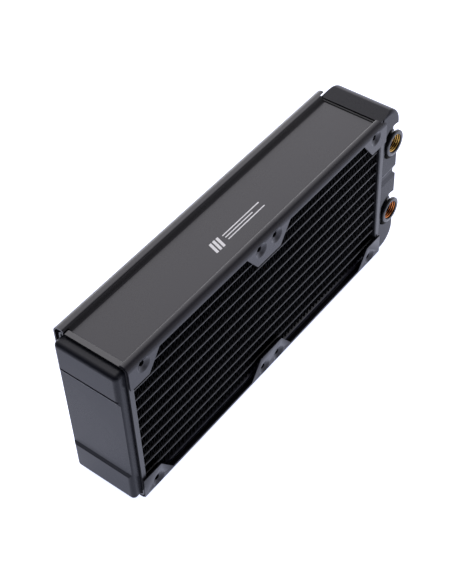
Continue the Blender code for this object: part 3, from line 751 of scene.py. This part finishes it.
def thread_skin(name, z, mat):
    """Internal pipe thread: one continuous helical ridge in the bore."""
    pitch, major, minor = 1.337, 6.58, 5.78
    y0, y1 = RING[0][1] + 0.45, RING[1][1] - 0.2
    around, per_turn = 96, 10
    rows = int(round((y1 - y0) / pitch * per_turn))
    bm = bmesh.new()
    grid = []
    for j in range(rows + 1):
        y = y0 + (y1 - y0) * j / rows
        row = []
        for k in range(around):
            a = 2 * math.pi * k / around
            phase = ((y - y0) / pitch + k / around) % 1.0
            wave = 1.0 - abs(2.0 * phase - 1.0)
            wave = min(1.0, max(0.0, (wave - 0.12) / 0.76))
            lead = min(1.0, (y - y0) / 1.1)
            r = major - (major - minor) * wave * (0.25 + 0.75 * lead)
            row.append(bm.verts.new(W(PORT_X + r * math.cos(a), y, z + r * math.sin(a))))
        grid.append(row)
    outer = []
    for y in (y0, y1):
        outer.append([bm.verts.new(W(PORT_X + 6.68 * math.cos(2 * math.pi * k / around), y,
                                     z + 6.68 * math.sin(2 * math.pi * k / around)))
                      for k in range(around)])
    for k in range(around):
        n = (k + 1) % around
        for j in range(rows):
            bm.faces.new((grid[j][k], grid[j + 1][k], grid[j + 1][n], grid[j][n]))
        bm.faces.new((outer[0][k], outer[0][n], outer[1][n], outer[1][k]))
        bm.faces.new((grid[0][k], grid[0][n], outer[0][n], outer[0][k]))
        bm.faces.new((grid[rows][k], outer[1][k], outer[1][n], grid[rows][n]))
    bmesh.ops.recalc_face_normals(bm, faces=bm.faces)
    mesh = bpy.data.meshes.new(name)
    bm.to_mesh(mesh)
    bm.free()
    obj = place(name, mesh, mat)
    mesh.shade_smooth()
    mesh.set_sharp_from_angle(angle=math.radians(55.0))
    return obj


for tag, z, mat in (("upper", PORTS[0], BRASS), ("lower", PORTS[1], COPPER)):
    ring = finish_piece(ring_skin("port_ring_" + tag, z), "tank_paint",
                        "port_collar_" + tag)
    finish_piece(thread_skin("port_thread_" + tag, z, mat), "port_brass",
                 "port_collar_" + tag)

# ------------------------------------------------------------ panel mark
# plain printed bars on the upper panel, with no lettering
web_z = HALF_WIDTH - WEB_DROP
mark_loops = []
for x0, x1, ya, yb in ((-27.0, -20.5, 17.0, 25.0),):
    mark_loops.append([(x0, ya), (x0 + 2.0, ya), (x0 + 4.4, yb), (x0 + 2.4, yb)])
    mark_loops.append([(x0 + 3.1, ya), (x0 + 5.1, ya), (x0 + 7.5, yb), (x0 + 5.5, yb)])
    mark_loops.append([(x0 + 6.2, ya), (x0 + 8.2, ya), (x0 + 10.6, yb), (x0 + 8.6, yb)])
for k in range(3):
    y = 18.4 + 2.2 * k
    mark_loops.append([(-14.0, y), (21.0 - 9.0 * (k % 2), y), (21.0 - 9.0 * (k % 2), y + 0.8),
                       (-14.0, y + 0.8)])
mark = outline("panel_mark", mark_loops, "Z", web_z + 0.01, web_z + 0.06, PRINT)
finish_piece(mark, "frame_paint")

# ------------------------------------------------------------ core side channels
for s, node in ((1, "core_side_top"), (-1, "core_side_bottom")):
    (x0, y0, z0), (x1, y1, z1) = mm_box(node)
    base = min(abs(z0), abs(z1)) + 0.3
    floor_z, reach = base + 0.6, web_z - SHEET - 0.15
    channel = [(y0, base), (y1, base), (y1, reach), (y1 - 0.7, reach), (y1 - 0.7, floor_z),
               (y0 + 0.7, floor_z), (y0 + 0.7, reach), (y0, reach)]
    side = outline(node + "_skin", [[(y, s * z) for y, z in channel[::s]]], "X", x0, x1,
                   FRAME_PAINT)
    finish_piece(side, "frame_paint", node)

# ------------------------------------------------------------ carried-over CAD
for node, mat in (("tank_baffle", TANK_PAINT),):
    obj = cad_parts[node]
    for k in range(len(obj.material_slots)):
        obj.material_slots[k].material = mat

# ------------------------------------------------------------ floor and light
floor_mesh = bpy.data.meshes.new("floor")
bm = bmesh.new()
bmesh.ops.create_grid(bm, x_segments=1, y_segments=1, size=4.0,
                      matrix=Matrix.Translation((0.0, 0.0, cad_lo[2] - 0.0001)))
bm.to_mesh(floor_mesh)
bm.free()
floor_look = Nodes("floor_look")
floor_look.shader.inputs["Base Color"].default_value = (0.55, 0.55, 0.56, 1.0)
floor_look.shader.inputs["Roughness"].default_value = 0.9
floor_look.shader.inputs["Emission Color"].default_value = (0.76, 0.80, 1.0, 1.0)
floor_look.shader.inputs["Emission Strength"].default_value = 1.24
floor_noise = floor_look.add("ShaderNodeTexNoise")
floor_noise.inputs["Scale"].default_value = 3.0
floor_map = floor_look.add("ShaderNodeMapRange")
floor_map.inputs["To Min"].default_value = 0.86
floor_map.inputs["To Max"].default_value = 0.92
floor_look.link(floor_noise.outputs["Fac"], floor_map.inputs["Value"])
floor_look.link(floor_map.outputs["Result"], floor_look.shader.inputs["Roughness"])
floor = place("floor", floor_mesh, floor_look.mat)

# broad soft lights behind, above and to the right; dark to the left and in front
STUDIO = ((0, 12, 48, 0.70), (52, 14, 46, 1.45), (312, 6, 38, 0.90), (32, 50, 40, 1.40),
          (80, 50, 44, 1.15), (320, 50, 40, 0.12), (40, 86, 34, 0.80))

world = bpy.data.worlds.new("studio")
scene.world = world
world.use_nodes = True
tree = world.node_tree
background = tree.nodes["Background"]
coord = tree.nodes.new("ShaderNodeTexCoord")
total = None
for azimuth, height, spread, strength in STUDIO:
    a, e = math.radians(azimuth), math.radians(height)
    dot = tree.nodes.new("ShaderNodeVectorMath")
    dot.operation = "DOT_PRODUCT"
    dot.inputs[1].default_value = (math.cos(e) * math.cos(a), math.cos(e) * math.sin(a),
                                   math.sin(e))
    tree.links.new(coord.outputs["Generated"], dot.inputs[0])
    lobe = tree.nodes.new("ShaderNodeMapRange")
    lobe.interpolation_type = "SMOOTHSTEP"
    lobe.inputs["From Min"].default_value = math.cos(math.radians(spread))
    lobe.inputs["From Max"].default_value = 1.0
    lobe.inputs["To Min"].default_value = 0.0
    lobe.inputs["To Max"].default_value = strength
    tree.links.new(dot.outputs["Value"], lobe.inputs["Value"])
    if total is None:
        total = lobe.outputs["Result"]
    else:
        add = tree.nodes.new("ShaderNodeMath")
        add.operation = "ADD"
        tree.links.new(total, add.inputs[0])
        tree.links.new(lobe.outputs["Result"], add.inputs[1])
        total = add.outputs["Value"]
fill = tree.nodes.new("ShaderNodeMath")
fill.operation = "ADD"
fill.inputs[1].default_value = 0.05
tree.links.new(total, fill.inputs[0])
tree.links.new(fill.outputs["Value"], background.inputs["Strength"])
background.inputs["Color"].default_value = (0.965, 0.945, 1.0, 1.0)

# the lamps themselves are out of sight: above the floor's edge the backdrop is as pale as the floor
backdrop = tree.nodes.new("ShaderNodeBackground")
backdrop.inputs["Color"].default_value = (1.0, 1.0, 1.0, 1.0)
backdrop.inputs["Strength"].default_value = 1.0
path = tree.nodes.new("ShaderNodeLightPath")
seen = tree.nodes.new("ShaderNodeMixShader")
tree.links.new(path.outputs["Is Camera Ray"], seen.inputs["Fac"])
tree.links.new(background.outputs["Background"], seen.inputs[1])
tree.links.new(backdrop.outputs["Background"], seen.inputs[2])
tree.links.new(seen.outputs["Shader"], tree.nodes["World Output"].inputs["Surface"])


def softbox(name, at, target, width, height, radiance, colour=(1, 1, 1)):
    data = bpy.data.lights.new(name, "AREA")
    data.shape = "RECTANGLE"
    data.size, data.size_y = width, height
    data.energy = radiance * math.pi * width * height
    data.color = colour
    obj = bpy.data.objects.new(name, data)
    scene.collection.objects.link(obj)
    obj.location = at
    obj.rotation_euler = (Vector(target) - Vector(at)).to_track_quat("-Z", "Y").to_euler()
    return obj


softbox("rim_light", (0.9, 1.35, 0.30), (0.0, 0.0, 0.06), 0.9, 0.5, 2.8)
scene.view_settings.view_transform = "Standard"
